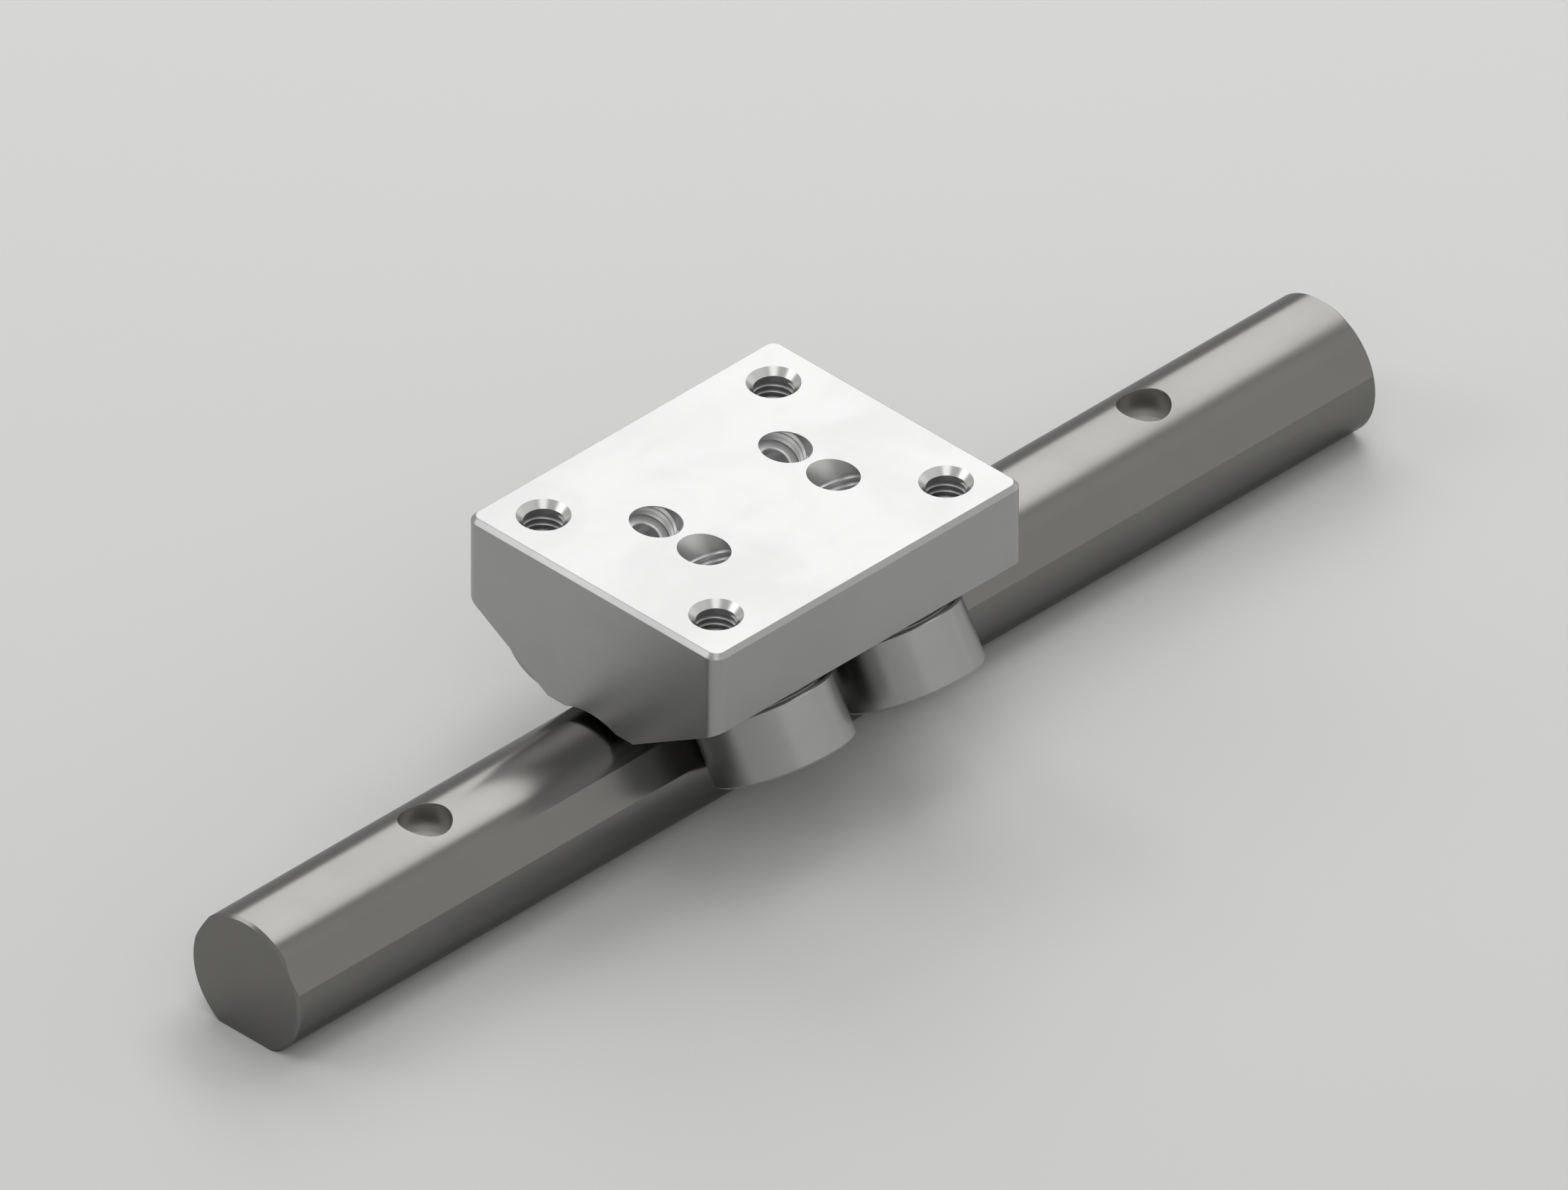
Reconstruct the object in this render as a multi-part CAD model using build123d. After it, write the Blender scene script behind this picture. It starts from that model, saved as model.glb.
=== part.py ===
import os
from math import asin, cos, radians, sin, sqrt, tan

from build123d import *

# Rail: a ground round bar along X, lying on its milled mounting flat, which is the plane Z = 0
rail_length = 300.0
rail_diameter = 30.0
rail_axis_height = 12.5
rail_end_chamfer = 0.6
running_flat_depth = 0.5

# Screw holes of the rail: a bore for the cap screw's head over a clearance hole
rail_hole_inset = 50.0
rail_head_bore_diameter = 11.0
rail_head_bore_depth = 7.0
rail_screw_hole_diameter = 6.6

# Carriage plate: one machined block that spans the rail, here where it stands at rest
carriage_x = -11.0
plate_overhang = 25.0
plate_width = 70.0
plate_top_height = 60.0
plate_corner_radius = 3.0
plate_top_chamfer = 1.0
groove_width = 14.0
groove_clearance = 2.0

# Four tapped holes in the plate's top face, blind, with a wide countersink each
tapped_inset = 11.0
tap_drill_diameter = 8.5
tapped_depth = 19.0
tapped_countersink_diameter = 11.0
countersink_angle = 90.0
drill_point_angle = 118.0

# Rollers: two on each side, tilted so that they press on the two running flats
roller_tilt = 30.0
roller_diameter = 30.0
roller_width = 14.0
roller_spacing = 6.0
roller_edge_chamfer = 0.5
roller_drop = 0.5
ring_recess_depth = 2.0

# Stud of a roller: shank and thread in the plate, raceway and head in the ring
stud_diameter = 12.0
stud_length = 24.5
stud_end_chamfer = 1.0
stud_raceway_diameter = 14.0
stud_head_diameter = 23.0
stud_head_proud = 0.6
stud_head_chamfer = 0.5
grease_bore_diameter = 6.0
grease_bore_depth = 8.0
grease_bore_chamfer = 0.3
grease_channel_diameter = 3.0
socket_across_flats = 6.0
socket_depth = 5.0

# Flange plate between ring and carriage plate, and the mouth of the stud bore above the stud
flange_diameter = 25.0
flange_height = 1.0
stud_bore_mouth_diameter = 10.0

# Needles that carry the ring on the stud's raceway
needle_diameter = 2.5
needle_count = 12

# Running and fitting clearances
rolling_gap = 0.02
running_gap = 0.05
bore_gap = 0.03
recess_gap = 0.1
stud_tip_gap = 0.5

# Stations along a roller's stud, measured down from the plate's slanted seat
ring_top = flange_height
ring_bottom = ring_top + roller_width
raceway_top = ring_top + ring_recess_depth - running_gap
raceway_bottom = ring_bottom - ring_recess_depth + running_gap
head_bottom = ring_bottom + stud_head_proud
seat_offset = flange_height + roller_width / 2 - roller_drop

# Distances along the rail: stud to stud, and the plate that overhangs the studs at both ends
roller_pitch = roller_diameter + roller_spacing
plate_length = roller_pitch + 2 * plate_overhang

# Radii of the rail and of the parts of a roller
rail_radius = rail_diameter / 2
running_flat_distance = rail_radius - running_flat_depth
roller_axis_distance = running_flat_distance + rolling_gap + roller_diameter / 2
groove_radius = rail_radius + groove_clearance
plate_foot_height = rail_axis_height + sqrt(groove_radius ** 2 - (groove_width / 2) ** 2)
needle_pitch_radius = stud_raceway_diameter / 2 + running_gap + needle_diameter / 2
ring_bore_radius = needle_pitch_radius + needle_diameter / 2 + running_gap
ring_recess_radius = stud_head_diameter / 2 + recess_gap
stud_bore_radius = stud_diameter / 2 + bore_gap

# Rollers 1 and 2 run on the side of -Y, rollers 3 and 4 on the side of +Y
roller_places = [
    (side, carriage_x + along * roller_pitch / 2)
    for side in (-1, 1)
    for along in (-1, 1)
]


def rail_normal(side):
    """Direction from the rail's axis square to the running flat on one side."""
    return Vector(0, side * cos(radians(roller_tilt)), sin(radians(roller_tilt)))


def stud_direction(side):
    """Direction along a stud on one side, from its roller up into the plate."""
    return Vector(0, -side * sin(radians(roller_tilt)), cos(radians(roller_tilt)))


def roller_plane(side, x):
    """Frame of one roller: origin where its stud enters the plate, Z up along the stud."""
    axis_point = Vector(x, 0, rail_axis_height) + rail_normal(side) * roller_axis_distance
    seat = axis_point + stud_direction(side) * seat_offset
    return Plane(origin=seat, x_dir=(1, 0, 0), z_dir=stud_direction(side))


def turned(points):
    """Solid of revolution about Z from (radius, height) points of a closed half section."""
    return revolve(Plane.XZ * make_face(Polyline(*points, close=True)), Axis.Z)


def make_rail():
    """Round bar with chamfered ends, three long flats and two counterbored screw holes."""
    bar = Plane.YZ * Cylinder(rail_radius, rail_length)
    bar = chamfer(bar.edges().filter_by(GeomType.CIRCLE), rail_end_chamfer)
    bar = Pos(0, 0, rail_axis_height) * bar
    chip = rail_diameter
    bar -= Pos(0, 0, -chip / 2) * Box(2 * rail_length, 2 * chip, chip)
    for side in (-1, 1):
        flat_centre = Vector(0, 0, rail_axis_height) + rail_normal(side) * running_flat_distance
        flat = Plane(origin=flat_centre, x_dir=(1, 0, 0), z_dir=rail_normal(side))
        bar -= flat * Pos(0, 0, chip / 2) * Box(2 * rail_length, chip, chip)
    crown_height = rail_axis_height + rail_radius
    for end in (-1, 1):
        bar -= Pos(end * (rail_length / 2 - rail_hole_inset), 0, crown_height) * CounterBoreHole(
            radius=rail_screw_hole_diameter / 2,
            counter_bore_radius=rail_head_bore_diameter / 2,
            counter_bore_depth=rail_head_bore_depth,
            depth=2 * crown_height,
        )
    return bar


def plate_section():
    """Half section of the carriage plate in (Y, Z), from the groove to the outer side."""
    seat_line_height = seat_offset / cos(radians(roller_tilt))
    slope = tan(radians(roller_tilt))
    half_width = plate_width / 2
    foot_outer = (plate_foot_height - rail_axis_height - seat_line_height) / slope
    side_bottom = rail_axis_height + seat_line_height + half_width * slope
    groove_crown = rail_axis_height + groove_radius
    half_arc = asin(groove_width / 2 / groove_radius) / 2
    groove_middle = (
        groove_radius * sin(half_arc),
        rail_axis_height + groove_radius * cos(half_arc),
    )
    foot_inner = (groove_width / 2, plate_foot_height)
    outline = ThreePointArc((0, groove_crown), groove_middle, foot_inner)
    outline += Polyline(
        foot_inner,
        (foot_outer, plate_foot_height),
        (half_width, side_bottom),
        (half_width, plate_top_height),
        (0, plate_top_height),
        (0, groove_crown),
    )
    return make_face(outline)


def make_plate():
    """Carriage plate with slanted roller seats, tapped holes and the bores of the studs."""
    half_section = plate_section()
    section = half_section + mirror(half_section, about=Plane.YZ)
    plate = extrude(Plane.YZ * section, amount=plate_length / 2, both=True)
    plate = fillet(plate.edges().filter_by(Axis.Z), plate_corner_radius)
    plate = chamfer(plate.faces().sort_by(Axis.Z)[-1].edges(), plate_top_chamfer)
    plate = Pos(carriage_x, 0, 0) * plate

    drill_radius = tap_drill_diameter / 2
    sink_radius = tapped_countersink_diameter / 2
    sink_depth = (sink_radius - drill_radius) / tan(radians(countersink_angle / 2))
    point_depth = drill_radius / tan(radians(drill_point_angle / 2))
    tapped_hole = turned([
        (0, 0),
        (sink_radius, 0),
        (drill_radius, -sink_depth),
        (drill_radius, -tapped_depth),
        (0, -tapped_depth - point_depth),
    ])
    for x in (tapped_inset - plate_length / 2, plate_length / 2 - tapped_inset):
        for y in (tapped_inset - plate_width / 2, plate_width / 2 - tapped_inset):
            plate -= Pos(carriage_x + x, y, plate_top_height) * tapped_hole

    step = stud_length + stud_tip_gap
    through = 2 * plate_top_height
    stud_bore = turned([
        (0, -through),
        (stud_bore_radius, -through),
        (stud_bore_radius, step),
        (stud_bore_mouth_diameter / 2, step),
        (stud_bore_mouth_diameter / 2, through),
        (0, through),
    ])
    for side, x in roller_places:
        plate -= roller_plane(side, x) * stud_bore
    return plate


def make_ring():
    """Outer ring of a roller: ground tread, broken edges, a recess at each end."""
    outer = roller_diameter / 2
    inner = ring_bore_radius
    recess = ring_recess_radius
    edge = roller_edge_chamfer
    return turned([
        (inner, -ring_top - ring_recess_depth),
        (recess, -ring_top - ring_recess_depth),
        (recess, -ring_top),
        (outer - edge, -ring_top),
        (outer, -ring_top - edge),
        (outer, -ring_bottom + edge),
        (outer - edge, -ring_bottom),
        (recess, -ring_bottom),
        (recess, -ring_bottom + ring_recess_depth),
        (inner, -ring_bottom + ring_recess_depth),
    ])


def make_stud():
    """Stud with shank, raceway and head, a greasing bore above and a hexagon socket below."""
    shank = stud_diameter / 2
    head = stud_head_diameter / 2
    raceway = stud_raceway_diameter / 2
    stud = turned([
        (0, stud_length),
        (shank - stud_end_chamfer, stud_length),
        (shank, stud_length - stud_end_chamfer),
        (shank, -raceway_top),
        (raceway, -raceway_top),
        (raceway, -raceway_bottom),
        (head, -raceway_bottom),
        (head, -head_bottom + stud_head_chamfer),
        (head - stud_head_chamfer, -head_bottom),
        (0, -head_bottom),
    ])
    grease_radius = grease_bore_diameter / 2
    stud -= turned([
        (0, stud_length),
        (grease_radius + grease_bore_chamfer, stud_length),
        (grease_radius, stud_length - grease_bore_chamfer),
        (grease_radius, stud_length - grease_bore_depth),
        (0, stud_length - grease_bore_depth),
    ])
    channel_radius = grease_channel_diameter / 2
    outlet = -(raceway_top + raceway_bottom) / 2
    channel_length = stud_length - grease_bore_depth - outlet
    stud -= Pos(0, 0, outlet + channel_length / 2) * Cylinder(channel_radius, channel_length)
    stud -= Pos(raceway / 2, 0, outlet) * Rot(0, 90, 0) * Cylinder(channel_radius, raceway)
    socket = RegularPolygon(socket_across_flats / 2, 6, major_radius=False)
    stud -= Pos(0, 0, -head_bottom) * extrude(socket, socket_depth)
    return stud


def make_flange():
    """Flange plate: a thin disc under the carriage plate with a hub in the ring's recess."""
    bore = stud_diameter / 2 + bore_gap
    hub = stud_head_diameter / 2
    rim = flange_diameter / 2
    rim_bottom = ring_top - running_gap
    return turned([
        (bore, 0),
        (rim, 0),
        (rim, -rim_bottom),
        (hub, -rim_bottom),
        (hub, -raceway_top),
        (bore, -raceway_top),
    ])


def make_needles():
    """The needles round the raceway of one stud, evenly spaced."""
    length = raceway_bottom - raceway_top - 2 * running_gap
    needle = Cylinder(needle_diameter / 2, length)
    middle = -(raceway_top + raceway_bottom) / 2
    spots = PolarLocations(needle_pitch_radius, needle_count)
    return Compound(children=[Pos(0, 0, middle) * spot * needle for spot in spots])


os.makedirs("parts", exist_ok=True)
export_step(make_rail(), "parts/rail.step")
export_step(make_plate(), "parts/carriage_plate.step")

roller_pieces = {
    "roller_ring": make_ring(),
    "roller_stud": make_stud(),
    "flange_plate": make_flange(),
    "needle_set": make_needles(),
}
for number, (side, x) in enumerate(roller_places, start=1):
    for name, piece in roller_pieces.items():
        export_step(roller_plane(side, x) * piece, f"parts/{name}_{number}.step")
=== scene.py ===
from math import cos, pi, radians, sin

import bmesh
import bpy
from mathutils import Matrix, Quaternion, Vector


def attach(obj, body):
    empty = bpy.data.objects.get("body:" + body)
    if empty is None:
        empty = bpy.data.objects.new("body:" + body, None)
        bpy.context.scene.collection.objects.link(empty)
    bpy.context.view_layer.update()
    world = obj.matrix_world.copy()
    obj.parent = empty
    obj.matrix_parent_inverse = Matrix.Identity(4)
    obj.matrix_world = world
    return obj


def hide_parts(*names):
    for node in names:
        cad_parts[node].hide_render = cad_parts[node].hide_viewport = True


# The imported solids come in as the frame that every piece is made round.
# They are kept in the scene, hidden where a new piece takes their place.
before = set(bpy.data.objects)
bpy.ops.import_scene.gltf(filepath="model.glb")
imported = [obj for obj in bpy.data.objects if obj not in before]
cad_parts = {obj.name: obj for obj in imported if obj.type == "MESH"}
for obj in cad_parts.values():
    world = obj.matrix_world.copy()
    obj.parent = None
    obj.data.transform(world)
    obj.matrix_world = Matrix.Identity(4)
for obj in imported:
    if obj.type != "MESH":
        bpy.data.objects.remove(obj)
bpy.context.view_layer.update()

# Camera. The guide is drawn in true isometry, so the camera has no perspective: it looks along
# +X, +Y and -Z alike, and its width is set by the size of the standard parts in the picture.
towards_camera = Vector((-1, -1, 1)).normalized()
aim = Vector((0.00618, 0.00628, 0.02496))
camera_distance = 1.5
picture_width = 0.308493

bpy.ops.object.camera_add(location=aim + camera_distance * towards_camera)
camera = bpy.context.active_object
camera.name = "isometric_camera"
camera.rotation_euler = towards_camera.to_track_quat("Z", "Y").to_euler()
camera.data.type = "ORTHO"
camera.data.ortho_scale = picture_width
bpy.context.scene.camera = camera

# Rail: one round steel bar, centreless ground, then milled flat below, where it lies on its bed.
# Two narrow running flats are ground along it for the rollers. Cap screws hold it down through
# two counterbored holes.
rail_half_length = 0.150
rail_radius = 0.015
rail_sides = 384
rail_axis_height = 0.0125
rail_end_chamfer = 0.0006
rail_edge_angle = radians(10)
running_flat_distance = 0.0145
roller_tilt = radians(30)
rail_hole_x = 0.100
head_bore_radius = 0.0055
head_bore_floor = 0.0205
screw_hole_radius = 0.0033
screw_hole_foot = -0.002
head_bore_mouth = 0.030
rail_crown = 0.0275
end_tolerance = 1e-6
crown_tolerance = 1e-4
facing_up = 0.9
rail_grey = (0.200, 0.197, 0.190, 1)
grazing_grey = (0.6, 0.6, 0.6, 1)
# Counterbore walls: painted light, a grey lighter than the bar's that brightens the shade inside
# the holes.
bore_wall_grey_painted_light = (0.42, 0.412, 0.40, 1)
# Counterbore floors: painted light, near white, standing in for light on floors that lie in
# shade.
bore_floor_grey_painted_light = (0.87, 0.86, 0.84, 1)


def choose(piece):
    """Selects one piece alone and makes it the active one."""
    bpy.ops.object.select_all(action="DESELECT")
    piece.select_set(True)
    bpy.context.view_layer.objects.active = piece


def settle():
    """Moves the selected piece's place, turn and size into its mesh."""
    bpy.ops.object.transform_apply(location=True, rotation=True, scale=True)


def pick_edges(piece, rule):
    """Selects the edges of the piece under edit for which the rule is true."""
    bpy.ops.mesh.select_mode(type="EDGE")
    bpy.ops.mesh.select_all(action="DESELECT")
    shape = bmesh.from_edit_mesh(piece.data)
    for edge in shape.edges:
        if rule(edge):
            edge.select_set(True)
    bmesh.update_edit_mesh(piece.data)


def saw_off(point, outward):
    """Cuts off all that lies beyond a plane and closes the piece under edit."""
    bpy.ops.mesh.select_all(action="SELECT")
    bpy.ops.mesh.bisect(
        plane_co=point, plane_no=outward, use_fill=True, clear_outer=True, threshold=1e-7
    )


def turn(name, stations, segments=96, closed=False):
    """Turns a piece about Z: one circle, drawn from station to station of (radius, height)."""
    radius, height = stations[0]
    bpy.ops.object.select_all(action="DESELECT")
    bpy.ops.mesh.primitive_circle_add(
        vertices=segments, radius=radius, fill_type="NOTHING", location=(0, 0, height)
    )
    piece = bpy.context.active_object
    piece.name = piece.data.name = name
    settle()
    bpy.ops.object.mode_set(mode="EDIT")
    bpy.ops.mesh.select_mode(type="VERT")
    bpy.ops.mesh.select_all(action="SELECT")
    for next_radius, next_height in stations[1:]:
        step = (0, 0, next_height - height)
        bpy.ops.mesh.extrude_region_move(TRANSFORM_OT_translate={"value": step})
        if next_radius:
            ratio = next_radius / radius
            centre = (0, 0, next_height)
            bpy.ops.transform.resize(value=(ratio, ratio, 1), center_override=centre)
        else:
            bpy.ops.mesh.merge(type="CENTER")
        radius, height = next_radius, next_height
    bpy.ops.mesh.select_all(action="SELECT")
    if closed:
        bpy.ops.mesh.remove_doubles(threshold=1e-6)
    else:
        bpy.ops.mesh.fill_holes(sides=0)
    bpy.ops.mesh.select_all(action="SELECT")
    bpy.ops.mesh.normals_make_consistent(inside=False)
    bpy.ops.object.mode_set(mode="OBJECT")
    return piece


def copy_to(tool, place, tilt=0.0):
    """Copies a tool or piece to a place, leaned about X, with its own mesh."""
    choose(tool)
    bpy.ops.object.duplicate(linked=False)
    copy = bpy.context.active_object
    copy.location = place
    copy.rotation_euler.x = tilt
    settle()
    return copy


def finish_with(piece, modifier):
    """Applies a modifier that has just been set on a piece."""
    choose(piece)
    bpy.ops.object.modifier_apply(modifier=modifier.name)


def cut_with(piece, tool):
    """Cuts a tool's shape out of a piece and puts the tool away."""
    cut = piece.modifiers.new("cut", "BOOLEAN")
    cut.operation = "DIFFERENCE"
    cut.solver = "MANIFOLD"
    cut.object = tool
    finish_with(piece, cut)
    bpy.data.objects.remove(tool)


def smooth(piece, edge_angle):
    """Shades the round faces smooth and keeps flat faces flat up to their edges."""
    choose(piece)
    bpy.ops.object.shade_smooth_by_angle(angle=edge_angle)
    flatness = piece.modifiers.new("flat_faces", "WEIGHTED_NORMAL")
    flatness.mode = "FACE_AREA"
    flatness.weight = 50
    flatness.keep_sharp = True
    finish_with(piece, flatness)


def new_group(name, inputs, outputs):
    """Starts a shader node group with named sockets and returns its tree and its two ends."""
    group = bpy.data.node_groups.new(name, "ShaderNodeTree")
    for title, kind in inputs.items():
        group.interface.new_socket(title, in_out="INPUT", socket_type=kind)
    for title, kind in outputs.items():
        group.interface.new_socket(title, in_out="OUTPUT", socket_type=kind)
    return group, group.nodes.new("NodeGroupInput"), group.nodes.new("NodeGroupOutput")


def make_tool_marks():
    """Fine marks of wheel or cutter, which run along the axes that the vector is squeezed in."""
    group, given, result = new_group(
        "tool_marks",
        {"Vector": "NodeSocketVector", "Lines per metre": "NodeSocketFloat"},
        {"Height": "NodeSocketFloat", "Gloss": "NodeSocketFloat"},
    )
    nodes, link = group.nodes, group.links.new
    fine = nodes.new("ShaderNodeTexNoise")
    fine.inputs["Detail"].default_value = 4
    fine.inputs["Roughness"].default_value = 0.65
    link(given.outputs["Vector"], fine.inputs["Vector"])
    link(given.outputs["Lines per metre"], fine.inputs["Scale"])
    broad = nodes.new("ShaderNodeTexNoise")
    broad.inputs["Detail"].default_value = 2
    share = nodes.new("ShaderNodeMath")
    share.operation = "MULTIPLY"
    share.inputs[1].default_value = broad_mark_share
    link(given.outputs["Lines per metre"], share.inputs[0])
    link(given.outputs["Vector"], broad.inputs["Vector"])
    link(share.outputs["Value"], broad.inputs["Scale"])
    blend = nodes.new("ShaderNodeMath")
    blend.operation = "ADD"
    link(fine.outputs["Fac"], blend.inputs[0])
    link(broad.outputs["Fac"], blend.inputs[1])
    halve = nodes.new("ShaderNodeMath")
    halve.operation = "MULTIPLY"
    halve.inputs[1].default_value = 0.5
    link(blend.outputs["Value"], halve.inputs[0])
    link(fine.outputs["Fac"], result.inputs["Height"])
    link(halve.outputs["Value"], result.inputs["Gloss"])
    return group


def make_oil_film():
    """Faint broad patches that a thin film of oil and handling leave on bare metal."""
    group, given, result = new_group(
        "oil_film",
        {"Vector": "NodeSocketVector", "Patches per metre": "NodeSocketFloat"},
        {"Film": "NodeSocketFloat"},
    )
    nodes, link = group.nodes, group.links.new
    patches = nodes.new("ShaderNodeTexNoise")
    patches.inputs["Detail"].default_value = 5
    patches.inputs["Roughness"].default_value = 0.55
    patches.inputs["Distortion"].default_value = 0.6
    link(given.outputs["Vector"], patches.inputs["Vector"])
    link(given.outputs["Patches per metre"], patches.inputs["Scale"])
    spread = nodes.new("ShaderNodeMapRange")
    spread.interpolation_type = "SMOOTHSTEP"
    spread.inputs["From Min"].default_value = film_starts
    spread.inputs["From Max"].default_value = film_is_full
    link(patches.outputs["Fac"], spread.inputs["Value"])
    link(spread.outputs["Result"], result.inputs["Film"])
    return group


broad_mark_share = 0.12
film_starts = 0.38
film_is_full = 0.66
film_patches_per_metre = 45
film_darkening = 0.96
film_roughening = 0.02
mark_roughening = 0.025
mark_strength = 0.12
tool_marks = make_tool_marks()
oil_film = make_oil_film()


def bare_metal(name, colour, roughness, line_stretch, lines_per_metre, mark_depth, place=None):
    """Bare machined metal. The marks run along the axes that are stretched least; place names
    a mesh attribute that takes the part of Object coordinates on turned pieces."""
    material = bpy.data.materials.new(name)
    material.use_nodes = True
    nodes, link = material.node_tree.nodes, material.node_tree.links.new
    shader = nodes["Principled BSDF"]
    shader.inputs["Metallic"].default_value = 1
    if place:
        coordinates = nodes.new("ShaderNodeAttribute")
        coordinates.attribute_name = place
        where = coordinates.outputs["Vector"]
    else:
        coordinates = nodes.new("ShaderNodeTexCoord")
        where = coordinates.outputs["Object"]
    stretch = nodes.new("ShaderNodeMapping")
    stretch.inputs["Scale"].default_value = line_stretch
    link(where, stretch.inputs["Vector"])
    marks = nodes.new("ShaderNodeGroup")
    marks.node_tree = tool_marks
    marks.inputs["Lines per metre"].default_value = lines_per_metre
    link(stretch.outputs["Vector"], marks.inputs["Vector"])
    film = nodes.new("ShaderNodeGroup")
    film.node_tree = oil_film
    film.inputs["Patches per metre"].default_value = film_patches_per_metre
    link(where, film.inputs["Vector"])

    tone = nodes.new("ShaderNodeMix")
    tone.data_type = "RGBA"
    tone.inputs["A"].default_value = colour
    tone.inputs["B"].default_value = [film_darkening * part for part in colour[:3]] + [1]
    link(film.outputs["Film"], tone.inputs["Factor"])
    link(tone.outputs["Result"], shader.inputs["Base Color"])

    sheen = nodes.new("ShaderNodeMapRange")
    sheen.inputs["To Min"].default_value = roughness - mark_roughening
    sheen.inputs["To Max"].default_value = roughness + mark_roughening
    link(marks.outputs["Gloss"], sheen.inputs["Value"])
    damp = nodes.new("ShaderNodeMath")
    damp.operation = "MULTIPLY_ADD"
    damp.inputs[1].default_value = film_roughening
    link(film.outputs["Film"], damp.inputs[0])
    link(sheen.outputs["Result"], damp.inputs[2])
    link(damp.outputs["Value"], shader.inputs["Roughness"])

    relief = nodes.new("ShaderNodeBump")
    relief.inputs["Strength"].default_value = mark_strength
    relief.inputs["Distance"].default_value = mark_depth
    link(marks.outputs["Height"], relief.inputs["Height"])
    link(relief.outputs["Normal"], shader.inputs["Normal"])
    return material


def dress(piece, *finishes):
    """Gives a piece its finishes in place of those it has. Its faces take the first one."""
    piece.data.materials.clear()
    for finish in finishes:
        piece.data.materials.append(finish)


bpy.ops.object.select_all(action="DESELECT")
bpy.ops.mesh.primitive_cylinder_add(
    vertices=rail_sides,
    radius=rail_radius,
    depth=2 * rail_half_length,
    location=(0, 0, rail_axis_height),
    rotation=(0, pi / 2, 0),
)
rail = bpy.context.active_object
rail.name = rail.data.name = "rail_bar"
settle()
bpy.ops.object.mode_set(mode="EDIT")
end_x = rail_half_length - end_tolerance
pick_edges(rail, lambda edge: abs(sum(corner.co.x for corner in edge.verts)) > 2 * end_x)
bpy.ops.mesh.bevel(offset=rail_end_chamfer, segments=1, affect="EDGES")
saw_off((0, 0, 0), (0, 0, -1))
for side in (-1, 1):
    flat_normal = Vector((0, side * cos(roller_tilt), sin(roller_tilt)))
    flat_centre = Vector((0, 0, rail_axis_height)) + running_flat_distance * flat_normal
    saw_off(flat_centre, flat_normal)
bpy.ops.object.mode_set(mode="OBJECT")

screw_hole = turn("screw_hole", [
    (screw_hole_radius, screw_hole_foot),
    (screw_hole_radius, head_bore_floor),
    (head_bore_radius, head_bore_floor),
    (head_bore_radius, head_bore_mouth),
])
for end in (-1, 1):
    cut_with(rail, copy_to(screw_hole, (end * rail_hole_x, 0, 0)))
bpy.data.objects.remove(screw_hole)
smooth(rail, rail_edge_angle)

ground_steel = bare_metal(
    "ground_rail_steel",
    rail_grey,
    roughness=0.21,
    line_stretch=(1, 0.012, 0.012),
    lines_per_metre=5200,
    mark_depth=6e-6,
)
ground_shader = ground_steel.node_tree.nodes["Principled BSDF"]
ground_shader.inputs["Specular Tint"].default_value = grazing_grey
# The counterbore walls' steel is a painted-light copy of the bar's: lighter, to brighten the
# shade in the holes.
bore_wall_steel_painted_light = bare_metal(
    "bore_wall_steel_painted_light",
    bore_wall_grey_painted_light,
    roughness=0.36,
    line_stretch=(1, 1, 0.02),
    lines_per_metre=4000,
    mark_depth=5e-6,
)
# The counterbore floors' steel is painted light: near white and rough, to brighten floors in the
# holes' shade.
bore_floor_steel_painted_light = bare_metal(
    "bore_floor_steel_painted_light",
    bore_floor_grey_painted_light,
    roughness=0.62,
    line_stretch=(1, 1, 1),
    lines_per_metre=2500,
    mark_depth=5e-6,
)
dress(rail, ground_steel, bore_wall_steel_painted_light, bore_floor_steel_painted_light)
# Faces in the counterbores take the painted-light copies: floors facing up the lightest, walls
# lighter than the bar.
for face in rail.data.polygons:
    off_hole = Vector((abs(face.center.x) - rail_hole_x, face.center.y))
    if off_hole.length < head_bore_radius and face.center.z < rail_crown - crown_tolerance:
        face.material_index = 2 if face.normal.z > facing_up else 1
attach(rail, "rail")
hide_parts("rail")

# Carriage plate: one block, milled all over, that spans the rail. Its underside leans at both
# sides to seat the rollers, with a round groove over the rail between them. Four tapped holes
# hold what it carries, and four slanted threaded bores hold the studs.
carriage_x = -0.011
plate_length = 0.086
plate_width = 0.070
plate_top = 0.060
plate_foot = 0.027992
corner_radius = 0.003
corner_steps = 12
top_chamfer = 0.001
broken_edge = 0.00012
plate_edge_angle = radians(28)
top_tolerance = 1e-6
mouth_tolerance = 1e-5
plain_mouth = 0.0003
groove_radius = 0.017
groove_sides = 256
groove_cut_length = 1.2 * plate_length
tapped_x = 0.032
tapped_y = 0.024
tapped_radius = 0.0041
tapped_floor = -0.0190
drill_point = -0.0214
countersink_reach = 0.0056
countersink_depth = 0.0014
countersink_tool_radius = 0.0065
countersink_tool_top = 0.0010
coarse_thread_start = -0.0184
coarse_thread_turns = 11
roller_axis_distance = 0.02952
seat_offset = 0.0075
stud_bore_radius = 0.00603
stud_bore_foot = -0.0300
stud_bore_end = 0.0240
bore_mouth_radius = 0.0050
bore_mouth_start = 0.0246
bore_mouth_end = 0.0600
fine_thread_start = 0.02485
fine_thread_turns = 3
thread_pitch = 0.0015
thread_steps = 48
stud_thread_angle = radians(-41)
stop_size = 0.1
roller_spread = 0.018
plate_grey = (0.385, 0.385, 0.385, 1)
# Countersinks: painted light, lighter than the plate's grey, to brighten the cones' reflections
# in the holes' shade.
countersink_grey_painted_light = (0.58, 0.58, 0.58, 1)
# Tapped holes and stud bores: painted light, lighter than the plate's grey, to brighten the shade
# inside them.
hole_wall_grey_painted_light = (0.57, 0.57, 0.57, 1)

roller_places = [
    (side, carriage_x + along * roller_spread) for side in (-1, 1) for along in (-1, 1)
]


def stud_direction(side):
    """Direction along a stud on one side, from its roller up into the plate."""
    return Vector((0, -side * sin(roller_tilt), cos(roller_tilt)))


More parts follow.
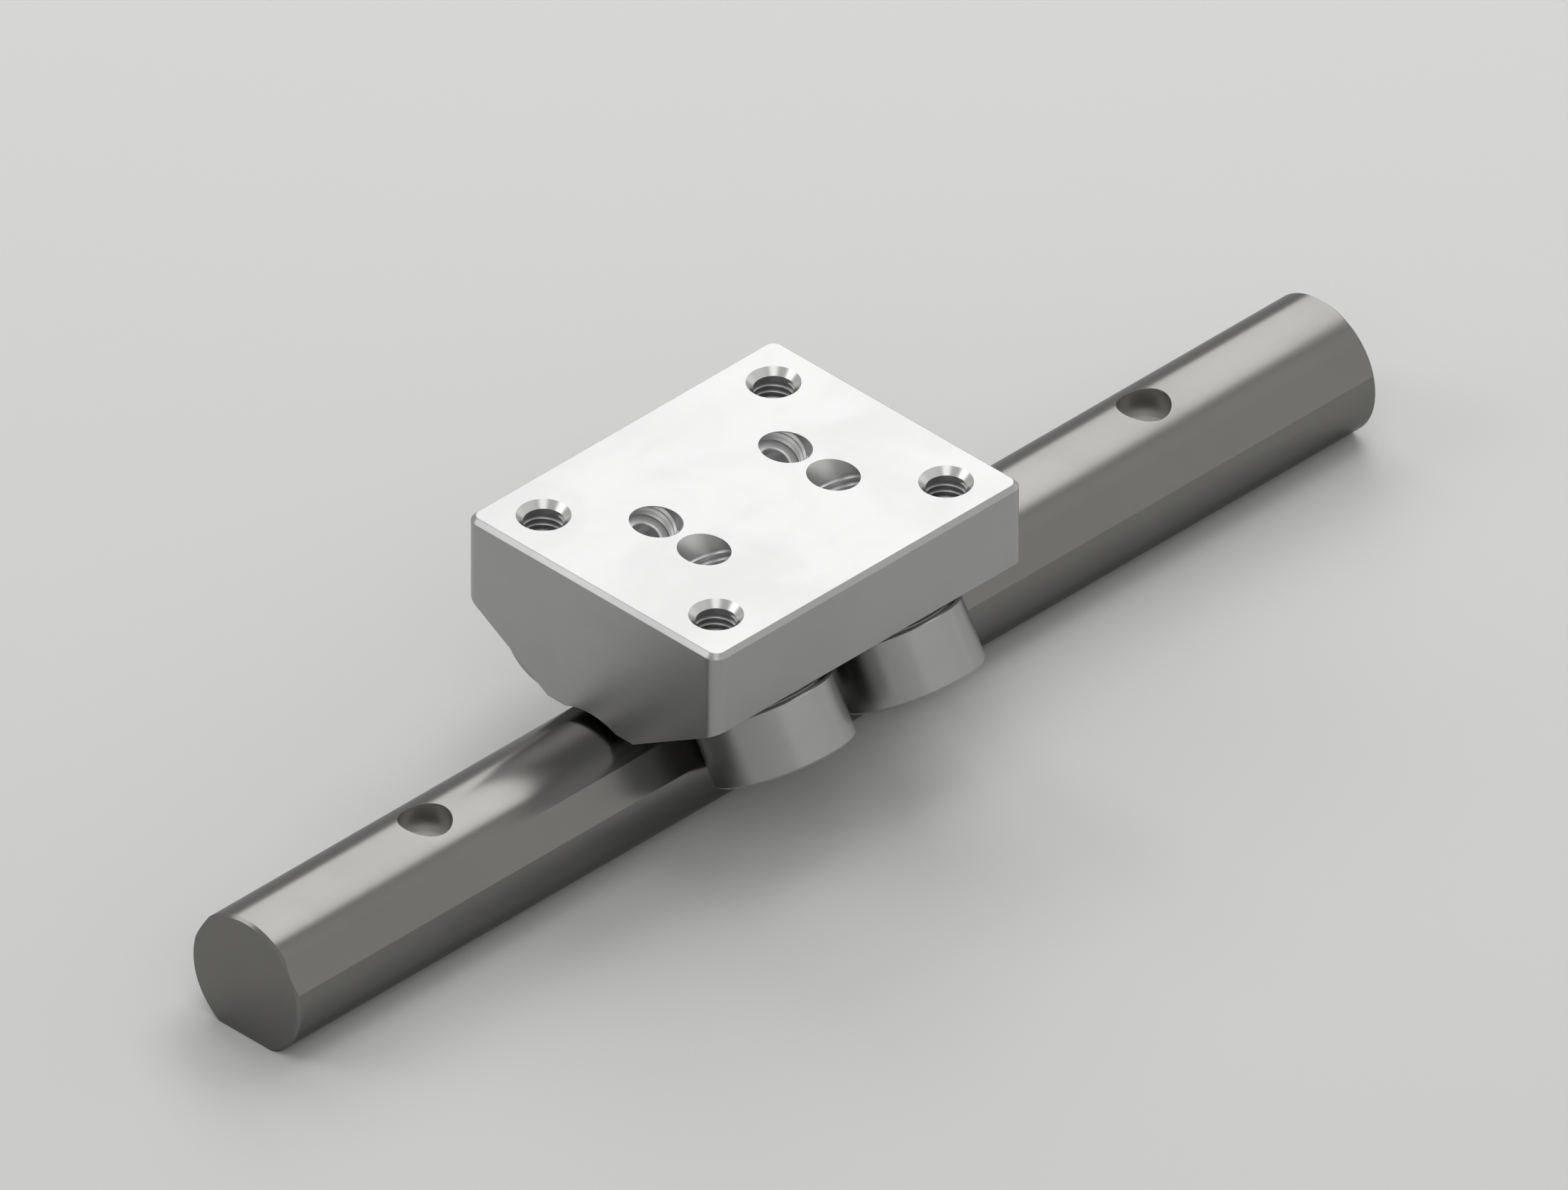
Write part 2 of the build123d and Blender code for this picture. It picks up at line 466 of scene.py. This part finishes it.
def seat_of(side, x):
    """Point on the plate's slanted seat where a roller's stud goes in."""
    outward = Vector((0, side * cos(roller_tilt), sin(roller_tilt)))
    axis = Vector((x, 0, rail_axis_height))
    return axis + roller_axis_distance * outward + seat_offset * stud_direction(side)


def off_stud_axis(point, side, x):
    """Distance of a point from the axis of a stud."""
    return (point - seat_of(side, x)).cross(stud_direction(side)).length


def deburr(piece, width):
    """Breaks a machined piece's sharp edges a little."""
    edges = piece.modifiers.new("broken_edges", "BEVEL")
    edges.width = width
    edges.segments = 2
    edges.limit_method = "ANGLE"
    edges.angle_limit = radians(30)
    finish_with(piece, edges)


def thread_tool(name, inner, outer, start, turns, angle):
    """Cutter for a screw thread: a trapezium between (radius, width) inner and outer, swept
    up its helix from the start height."""
    inner_radius, inner_width = inner
    outer_radius, outer_width = outer
    middle = (inner_radius + outer_radius) / 2
    bpy.ops.object.select_all(action="DESELECT")
    bpy.ops.mesh.primitive_plane_add(
        size=1, location=(middle, 0, start), rotation=(pi / 2, 0, 0)
    )
    tool = bpy.context.active_object
    tool.name = tool.data.name = name
    tool.scale = (outer_radius - inner_radius, inner_width, 1)
    settle()
    bpy.ops.object.mode_set(mode="EDIT")
    pick_edges(tool, lambda edge: all(corner.co.x > middle for corner in edge.verts))
    narrowing = outer_width / inner_width
    bpy.ops.transform.resize(value=(1, 1, narrowing), center_override=(outer_radius, 0, start))
    bpy.ops.mesh.select_mode(type="FACE")
    bpy.ops.mesh.select_all(action="SELECT")
    bpy.ops.mesh.delete(type="ONLY_FACE")
    bpy.ops.object.mode_set(mode="OBJECT")
    sweep = tool.modifiers.new("helix", "SCREW")
    sweep.axis = "Z"
    sweep.angle = 2 * pi
    sweep.screw_offset = thread_pitch
    sweep.iterations = turns
    sweep.steps = sweep.render_steps = thread_steps
    sweep.use_normal_calculate = True
    finish_with(tool, sweep)
    bpy.ops.object.mode_set(mode="EDIT")
    bpy.ops.mesh.select_mode(type="VERT")
    bpy.ops.mesh.select_all(action="SELECT")
    bpy.ops.mesh.fill_holes(sides=4)
    bpy.ops.mesh.select_all(action="SELECT")
    bpy.ops.mesh.normals_make_consistent(inside=False)
    bpy.ops.object.mode_set(mode="OBJECT")
    tool.rotation_euler.z = angle
    bpy.ops.object.transform_apply(location=False, rotation=True, scale=False)
    return tool


bpy.ops.object.select_all(action="DESELECT")
bpy.ops.mesh.primitive_cube_add(
    size=1,
    location=(carriage_x, 0, (plate_foot + plate_top) / 2),
    scale=(plate_length, plate_width, plate_top - plate_foot),
)
plate = bpy.context.active_object
plate.name = plate.data.name = "carriage_block"
settle()
bpy.ops.object.mode_set(mode="EDIT")
pick_edges(plate, lambda edge: abs(edge.verts[0].co.z - edge.verts[1].co.z) > broken_edge)
bpy.ops.mesh.bevel(offset=corner_radius, segments=corner_steps, affect="EDGES")
at_top = plate_top - top_tolerance
pick_edges(plate, lambda edge: all(corner.co.z > at_top for corner in edge.verts))
bpy.ops.mesh.bevel(offset=top_chamfer, segments=1, affect="EDGES")
for side in (-1, 1):
    saw_off(seat_of(side, carriage_x), -stud_direction(side))
bpy.ops.object.mode_set(mode="OBJECT")

bpy.ops.object.select_all(action="DESELECT")
bpy.ops.mesh.primitive_cylinder_add(
    vertices=groove_sides,
    radius=groove_radius,
    depth=groove_cut_length,
    location=(carriage_x, 0, rail_axis_height),
    rotation=(0, pi / 2, 0),
)
groove = bpy.context.active_object
settle()
cut_with(plate, groove)
deburr(plate, broken_edge)

tapped_hole = turn("tapped_hole", [
    (countersink_tool_radius, countersink_tool_top),
    (tapped_radius, -countersink_depth),
    (tapped_radius, tapped_floor),
    (0, drill_point),
])
coarse_thread = thread_tool(
    "coarse_thread",
    inner=(0.00398, 0.00126),
    outer=(0.0048, 0.00030),
    start=coarse_thread_start,
    turns=coarse_thread_turns,
    angle=0,
)
for x in (-tapped_x, tapped_x):
    for y in (-tapped_y, tapped_y):
        mouth = (carriage_x + x, y, plate_top)
        cut_with(plate, copy_to(tapped_hole, mouth))
        cut_with(plate, copy_to(coarse_thread, mouth))

stud_bore = turn("stud_bore", [
    (stud_bore_radius, stud_bore_foot),
    (stud_bore_radius, stud_bore_end),
    (bore_mouth_radius, bore_mouth_start),
    (bore_mouth_radius, bore_mouth_end),
])
fine_thread = thread_tool(
    "fine_thread",
    inner=(0.00488, 0.00138),
    outer=(0.0055, 0.00014),
    start=fine_thread_start,
    turns=fine_thread_turns,
    angle=stud_thread_angle,
)
for side, x in roller_places:
    cut_with(plate, copy_to(stud_bore, seat_of(side, x), side * roller_tilt))
    thread = copy_to(fine_thread, seat_of(side, x), side * roller_tilt)
    bpy.ops.object.select_all(action="DESELECT")
    bpy.ops.mesh.primitive_cube_add(
        size=stop_size, location=(x, 0, plate_top - plain_mouth + stop_size / 2)
    )
    stop = bpy.context.active_object
    settle()
    cut_with(thread, stop)
    cut_with(plate, thread)
for tool in (tapped_hole, coarse_thread, stud_bore, fine_thread):
    bpy.data.objects.remove(tool)
smooth(plate, plate_edge_angle)

milled_plate = bare_metal(
    "milled_plate",
    plate_grey,
    roughness=0.34,
    line_stretch=(0.02, 0.3, 1),
    lines_per_metre=6000,
    mark_depth=2e-6,
)
# The countersinks' metal is a painted-light copy of the plate's: lighter, against the shade in
# the holes.
countersink_plate_painted_light = bare_metal(
    "countersink_plate_painted_light",
    countersink_grey_painted_light,
    roughness=0.24,
    line_stretch=(1, 1, 0.2),
    lines_per_metre=2500,
    mark_depth=6e-6,
)
# The hole walls' metal is a painted-light copy of the plate's: lighter, against the shade in the
# holes and bores.
hole_wall_plate_painted_light = bare_metal(
    "hole_wall_plate_painted_light",
    hole_wall_grey_painted_light,
    roughness=0.36,
    line_stretch=(1, 1, 0.2),
    lines_per_metre=2500,
    mark_depth=6e-6,
)
dress(plate, milled_plate, countersink_plate_painted_light, hole_wall_plate_painted_light)
# Faces in the countersinks, holes and bores take the painted-light copies of the plate's metal.
for face in plate.data.polygons:
    spot = face.center
    off_hole = Vector((abs(spot.x - carriage_x) - tapped_x, abs(spot.y) - tapped_y)).length
    off_bore = min(off_stud_axis(spot, side, x) for side, x in roller_places)
    cut_in = off_hole < countersink_reach or off_bore < stud_bore_radius + broken_edge
    if cut_in and spot.z < plate_top - mouth_tolerance:
        sunk = off_hole < countersink_reach and spot.z > plate_top - countersink_depth
        face.material_index = 1 if sunk else 2
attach(plate, "carriage")
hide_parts("carriage_plate")

# Rollers: the outer rings, turned and hardened, with a ground tread, broken edges and a recess
# at each end. Each one rolls on a running flat of the rail. Heights are taken from the seat.
ring_radius = 0.0150
ring_face_radius = 0.0145
ring_recess_radius = 0.0116
ring_bore_radius = 0.0096
ring_top = -0.0010
ring_tread_top = -0.0015
ring_tread_foot = -0.0145
ring_foot = -0.0150
ring_top_recess = -0.0030
ring_foot_recess = -0.0130
ring_broken_edge = 0.00006
round_sides = 192
turned_edge_angle = radians(28)
ring_grey = (0.34, 0.34, 0.34, 1)
lathe_place = "lathe_place"


def seat_four(model, node, body, material):
    """Sets four copies of a turned piece on their seats. Each keeps where its points were on
    the lathe, so that the turning marks follow the piece."""
    smooth(model, turned_edge_angle)
    spots = model.data.attributes.new(lathe_place, "FLOAT_VECTOR", "POINT")
    for spot, corner in zip(spots.data, model.data.vertices):
        spot.vector = corner.co
    dress(model, material)
    for number, (side, x) in enumerate(roller_places, start=1):
        piece = copy_to(model, seat_of(side, x), side * roller_tilt)
        piece.name = piece.data.name = f"{model.name}_{number}"
        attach(piece, body.format(number))
        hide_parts(f"{node}_{number}")
    bpy.data.objects.remove(model)


ring = turn("outer_ring", [
    (ring_bore_radius, ring_top_recess),
    (ring_recess_radius, ring_top_recess),
    (ring_recess_radius, ring_top),
    (ring_face_radius, ring_top),
    (ring_radius, ring_tread_top),
    (ring_radius, ring_tread_foot),
    (ring_face_radius, ring_foot),
    (ring_recess_radius, ring_foot),
    (ring_recess_radius, ring_foot_recess),
    (ring_bore_radius, ring_foot_recess),
    (ring_bore_radius, ring_top_recess),
], segments=round_sides, closed=True)
deburr(ring, ring_broken_edge)
ring_steel = bare_metal(
    "ground_ring_steel",
    ring_grey,
    roughness=0.28,
    line_stretch=(0.02, 0.02, 1),
    lines_per_metre=6000,
    mark_depth=4e-6,
    place=lathe_place,
)
seat_four(ring, "roller_ring", "roller_{}", ring_steel)

# Studs: each is screwed up into the plate and is the roller's axle. It has a greasing bore in
# its threaded end, a raceway for the needles, and a wide head with a hexagon socket below.
stud_tip = 0.0245
stud_tip_radius = 0.0050
stud_shank_end = 0.0235
stud_radius = 0.0060
raceway_radius = 0.0070
raceway_top = -0.00295
raceway_foot = -0.01305
stud_head_radius = 0.0115
stud_head_edge = -0.0151
stud_head_face_radius = 0.0110
stud_head_foot = -0.0156
socket_mouth_radius = 0.0038
socket_radius = 0.0030
socket_floor = -0.0106
socket_middle = -0.0136
socket_depth = 0.006
channel_radius = 0.0015
channel_foot = -0.0099
grease_bore_radius = 0.0030
grease_bore_floor = 0.0165
grease_mouth_radius = 0.0033
grease_mouth_foot = 0.0242
stud_sides = 144
stud_broken_edge = 0.00005
stud_thread_start = 0.01210
stud_thread_turns = 9
# Studs: painted light, a near-white grey that brightens the stud ends in the shade of their
# bores.
stud_grey_painted_light = (0.8, 0.8, 0.8, 1)

stud = turn("threaded_stud", [
    (grease_mouth_radius, stud_tip),
    (stud_tip_radius, stud_tip),
    (stud_radius, stud_shank_end),
    (stud_radius, raceway_top),
    (raceway_radius, raceway_top),
    (raceway_radius, raceway_foot),
    (stud_head_radius, raceway_foot),
    (stud_head_radius, stud_head_edge),
    (stud_head_face_radius, stud_head_foot),
    (socket_mouth_radius, stud_head_foot),
    (socket_radius, stud_head_edge),
    (socket_radius, socket_floor),
    (channel_radius, channel_foot),
    (channel_radius, grease_bore_floor),
    (grease_bore_radius, grease_bore_floor),
    (grease_bore_radius, grease_mouth_foot),
    (grease_mouth_radius, stud_tip),
], segments=stud_sides, closed=True)
deburr(stud, stud_broken_edge)
bpy.ops.object.select_all(action="DESELECT")
bpy.ops.mesh.primitive_cylinder_add(
    vertices=6,
    radius=socket_radius / cos(pi / 6),
    depth=socket_depth,
    location=(0, 0, socket_middle),
)
socket = bpy.context.active_object
settle()
cut_with(stud, socket)
cut_with(stud, thread_tool(
    "stud_thread",
    inner=(0.00497, 0.00040),
    outer=(0.0062, 0.00162),
    start=stud_thread_start,
    turns=stud_thread_turns,
    angle=stud_thread_angle,
))
# The studs' metal is painted light: near white, against the shade of the bores their ends sit in.
stud_metal_painted_light = bare_metal(
    "turned_stud_painted_light",
    stud_grey_painted_light,
    roughness=0.42,
    line_stretch=(0.02, 0.02, 1),
    lines_per_metre=5000,
    mark_depth=1e-5,
    place=lathe_place,
)
seat_four(stud, "roller_stud", "carriage", stud_metal_painted_light)

# Flange plates: thin discs between the rings and the plate. The hub of each sits in its ring's
# recess and keeps dirt out of the needles.
flange_bore_radius = 0.00603
flange_radius = 0.0125
flange_foot = -0.00095
hub_radius = 0.0115
hub_foot = -0.00295
flange_broken_edge = 0.00008
flange_grey = (0.62, 0.62, 0.62, 1)

flange = turn("flange_disc", [
    (flange_bore_radius, 0),
    (flange_radius, 0),
    (flange_radius, flange_foot),
    (hub_radius, flange_foot),
    (hub_radius, hub_foot),
    (flange_bore_radius, hub_foot),
    (flange_bore_radius, 0),
], segments=round_sides, closed=True)
deburr(flange, flange_broken_edge)
flange_steel = bare_metal(
    "pressed_flange_steel",
    flange_grey,
    roughness=0.3,
    line_stretch=(0.02, 0.02, 1),
    lines_per_metre=4000,
    mark_depth=4e-6,
    place=lathe_place,
)
seat_four(flange, "flange_plate", "carriage", flange_steel)

# Needles: polished bearing needles, sealed between ring and stud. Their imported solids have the
# right shape, so they stay and get their finish only.
needle_grey = (0.45, 0.45, 0.45, 1)
needle_steel = bare_metal(
    "polished_needle_steel",
    needle_grey,
    roughness=0.16,
    line_stretch=(1, 1, 1),
    lines_per_metre=3000,
    mark_depth=5e-6,
)
for number in range(1, 5):
    dress(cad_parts[f"needle_set_{number}"], needle_steel)

# Floor: a plain pale table top under the rail, a hair lower than the flat it lies on. It is
# matt paint, so that it takes the guide's shadow and shows no picture of it.
floor_size = 6.0
floor_height = -0.0001
floor_grey = (0.69, 0.695, 0.68, 1)
floor_roughness = 0.9
floor_gloss = 0.2

bpy.ops.object.select_all(action="DESELECT")
bpy.ops.mesh.primitive_plane_add(size=floor_size, location=(0, 0, floor_height))
floor = bpy.context.active_object
floor.name = floor.data.name = "table_top"
floor_paint = bpy.data.materials.new("pale_matt_paint")
floor_paint.use_nodes = True
floor_shader = floor_paint.node_tree.nodes["Principled BSDF"]
floor_shader.inputs["Base Color"].default_value = floor_grey
floor_shader.inputs["Roughness"].default_value = floor_roughness
floor_shader.inputs["Specular IOR Level"].default_value = floor_gloss
dress(floor, floor_paint)

# Studio light: a long soft box behind and above the rail, which the bar and the plate's top show,
# and plainer ones in front, left, near, high, back and right. Each row gives a box's direction,
# distance, width, height, brightness and roll in its own plane.
soft_boxes = {
    "key_soft_box": ((0.577, 0.36, 0.733), 1.3, 0.6, 1.85, 2.2, radians(40)),
    "front_soft_box": ((0.32, -0.80, 0.50), 1.2, 2.2, 1.1, 0.25, 0),
    "left_soft_box": ((-0.577, 0.577, 0.577), 1.3, 0.6, 0.6, 1.7, 0),
    "near_soft_box": ((-0.50, -0.50, 0.707), 1.8, 0.8, 1.3, 1.0, 0),
    "high_soft_box": ((-0.06, -0.06, 1.0), 1.5, 0.7, 0.7, 1.5, 0),
    "back_soft_box": ((0.16, 0.69, 0.70), 1.3, 0.35, 0.6, 2.4, 0),
    "right_soft_box": ((0.94, -0.26, 0.22), 1.2, 0.7, 0.5, 0.5, 0),
}
for name, (direction, distance, width, height, brightness, roll) in soft_boxes.items():
    direction = Vector(direction).normalized()
    bpy.ops.object.light_add(type="AREA", location=aim + distance * direction)
    lamp = bpy.context.active_object
    lamp.name = name
    facing = direction.to_track_quat("Z", "Y")
    lamp.rotation_euler = (facing @ Quaternion((0, 0, 1), roll)).to_euler()
    lamp.data.shape = "RECTANGLE"
    lamp.data.size = width
    lamp.data.size_y = height
    lamp.data.energy = brightness * pi * width * height

# Room: even grey walls round the guide. The picture and the metal show them lighter than they
# light the floor.
lighting_grey = (0.33, 0.33, 0.33, 1)
seen_grey = (0.60, 0.60, 0.59, 1)

world = bpy.data.worlds.new("grey_room")
bpy.context.scene.world = world
world.use_nodes = True
room_nodes, room_link = world.node_tree.nodes, world.node_tree.links.new
room = room_nodes["Background"]
rays = room_nodes.new("ShaderNodeLightPath")
seen = room_nodes.new("ShaderNodeMath")
seen.operation = "MAXIMUM"
room_link(rays.outputs["Is Camera Ray"], seen.inputs[0])
room_link(rays.outputs["Is Glossy Ray"], seen.inputs[1])
seen_through = room_nodes.new("ShaderNodeMath")
seen_through.operation = "MAXIMUM"
room_link(seen.outputs["Value"], seen_through.inputs[0])
room_link(rays.outputs["Is Transmission Ray"], seen_through.inputs[1])
wall = room_nodes.new("ShaderNodeMix")
wall.data_type = "RGBA"
wall.inputs["A"].default_value = lighting_grey
wall.inputs["B"].default_value = seen_grey
room_link(seen_through.outputs["Value"], wall.inputs["Factor"])
room_link(wall.outputs["Result"], room.inputs["Color"])
room.inputs["Strength"].default_value = 1

bpy.context.scene.view_settings.view_transform = "Standard"
